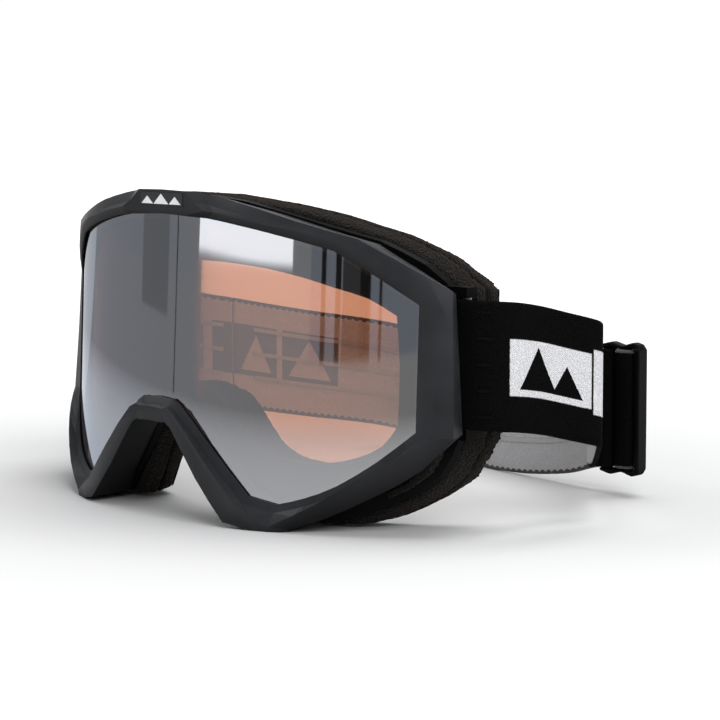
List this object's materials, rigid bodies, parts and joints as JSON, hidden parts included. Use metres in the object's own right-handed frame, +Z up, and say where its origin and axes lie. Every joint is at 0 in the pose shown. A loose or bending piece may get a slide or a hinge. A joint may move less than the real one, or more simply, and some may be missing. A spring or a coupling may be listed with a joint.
{
  "type": "ski goggles",
  "caption": "Ski goggles with a wide curved mirrored lens, an angular frame, layered face foam and an adjustable webbing strap looped out behind.",
  "frame": {"origin": "on the floor, under the centre of the whole object with its strap looped out", "axes": "+X towards the wearer's left, the lens faces -Y, +Z up; the goggles' own centre plane is 1.3 mm to -X of the origin"},
  "size_m": [0.189, 0.1572, 0.0951],
  "materials": {
    "frame_plastic": "satin",
    "flange_plastic": "matte",
    "outer_lens_tint": "mirror-coated",
    "inner_lens_clear": "clear",
    "gasket": "matte",
    "badge_grey": "satin",
    "pin_steel": "brushed",
    "foam_black": "open-cell foam",
    "fleece_black": "brushed fleece",
    "webbing": "woven",
    "thread": "thread",
    "silicone": "clear silicone",
    "slider_plastic": "satin"
  },
  "bodies": {
    "frame": {"frame": "frame_plastic", "face_flange": "flange_plastic", "outer_lens": "outer_lens_tint", "lens_spacer": "gasket", "inner_lens": "inner_lens_clear", "badge": "badge_grey", "strap_pin_left": "pin_steel", "strap_pin_right": "pin_steel", "foam_base": "foam_black", "foam_soft": "foam_black", "fleece_lining": "fleece_black", "vent_foam_upper": "foam_black", "vent_foam_lower": "foam_black"},
    "near_strap": {"strap_near": "webbing", "stitching_near": "thread", "grip_lines_near": "silicone"},
    "rear_strap": {"strap_joining": "webbing", "slider": "slider_plastic", "strap_rear": "webbing", "grip_lines_rear": "silicone"},
    "far_strap": {"strap_far": "webbing", "stitching_far": "thread", "grip_lines_far": "silicone"}
  },
  "joints": [
    {"name": "strap_swing", "type": "hinge", "parent": "frame", "child": "near_strap", "pos_m": [0.08206, -0.03078, 0.04785], "axis": [0, 0, 1], "range_deg": [-10, 10]},
    {"name": "rear_strap_turn", "type": "hinge", "parent": "near_strap", "child": "rear_strap", "pos_m": [0.09376, 0.01122, 0.03985], "axis": [0, 0, 1], "range_deg": [-10, 10]},
    {"name": "far_strap_swing", "type": "hinge", "parent": "frame", "child": "far_strap", "pos_m": [-0.08474, -0.03078, 0.04785], "axis": [0, 0, 1], "range_deg": [-10, 10]}
  ],
  "couplings": [
    {"joint": "rear_strap_turn", "follows": "strap_swing", "ratio": -1},
    {"joint": "far_strap_swing", "follows": "strap_swing", "ratio": 1}
  ]
}
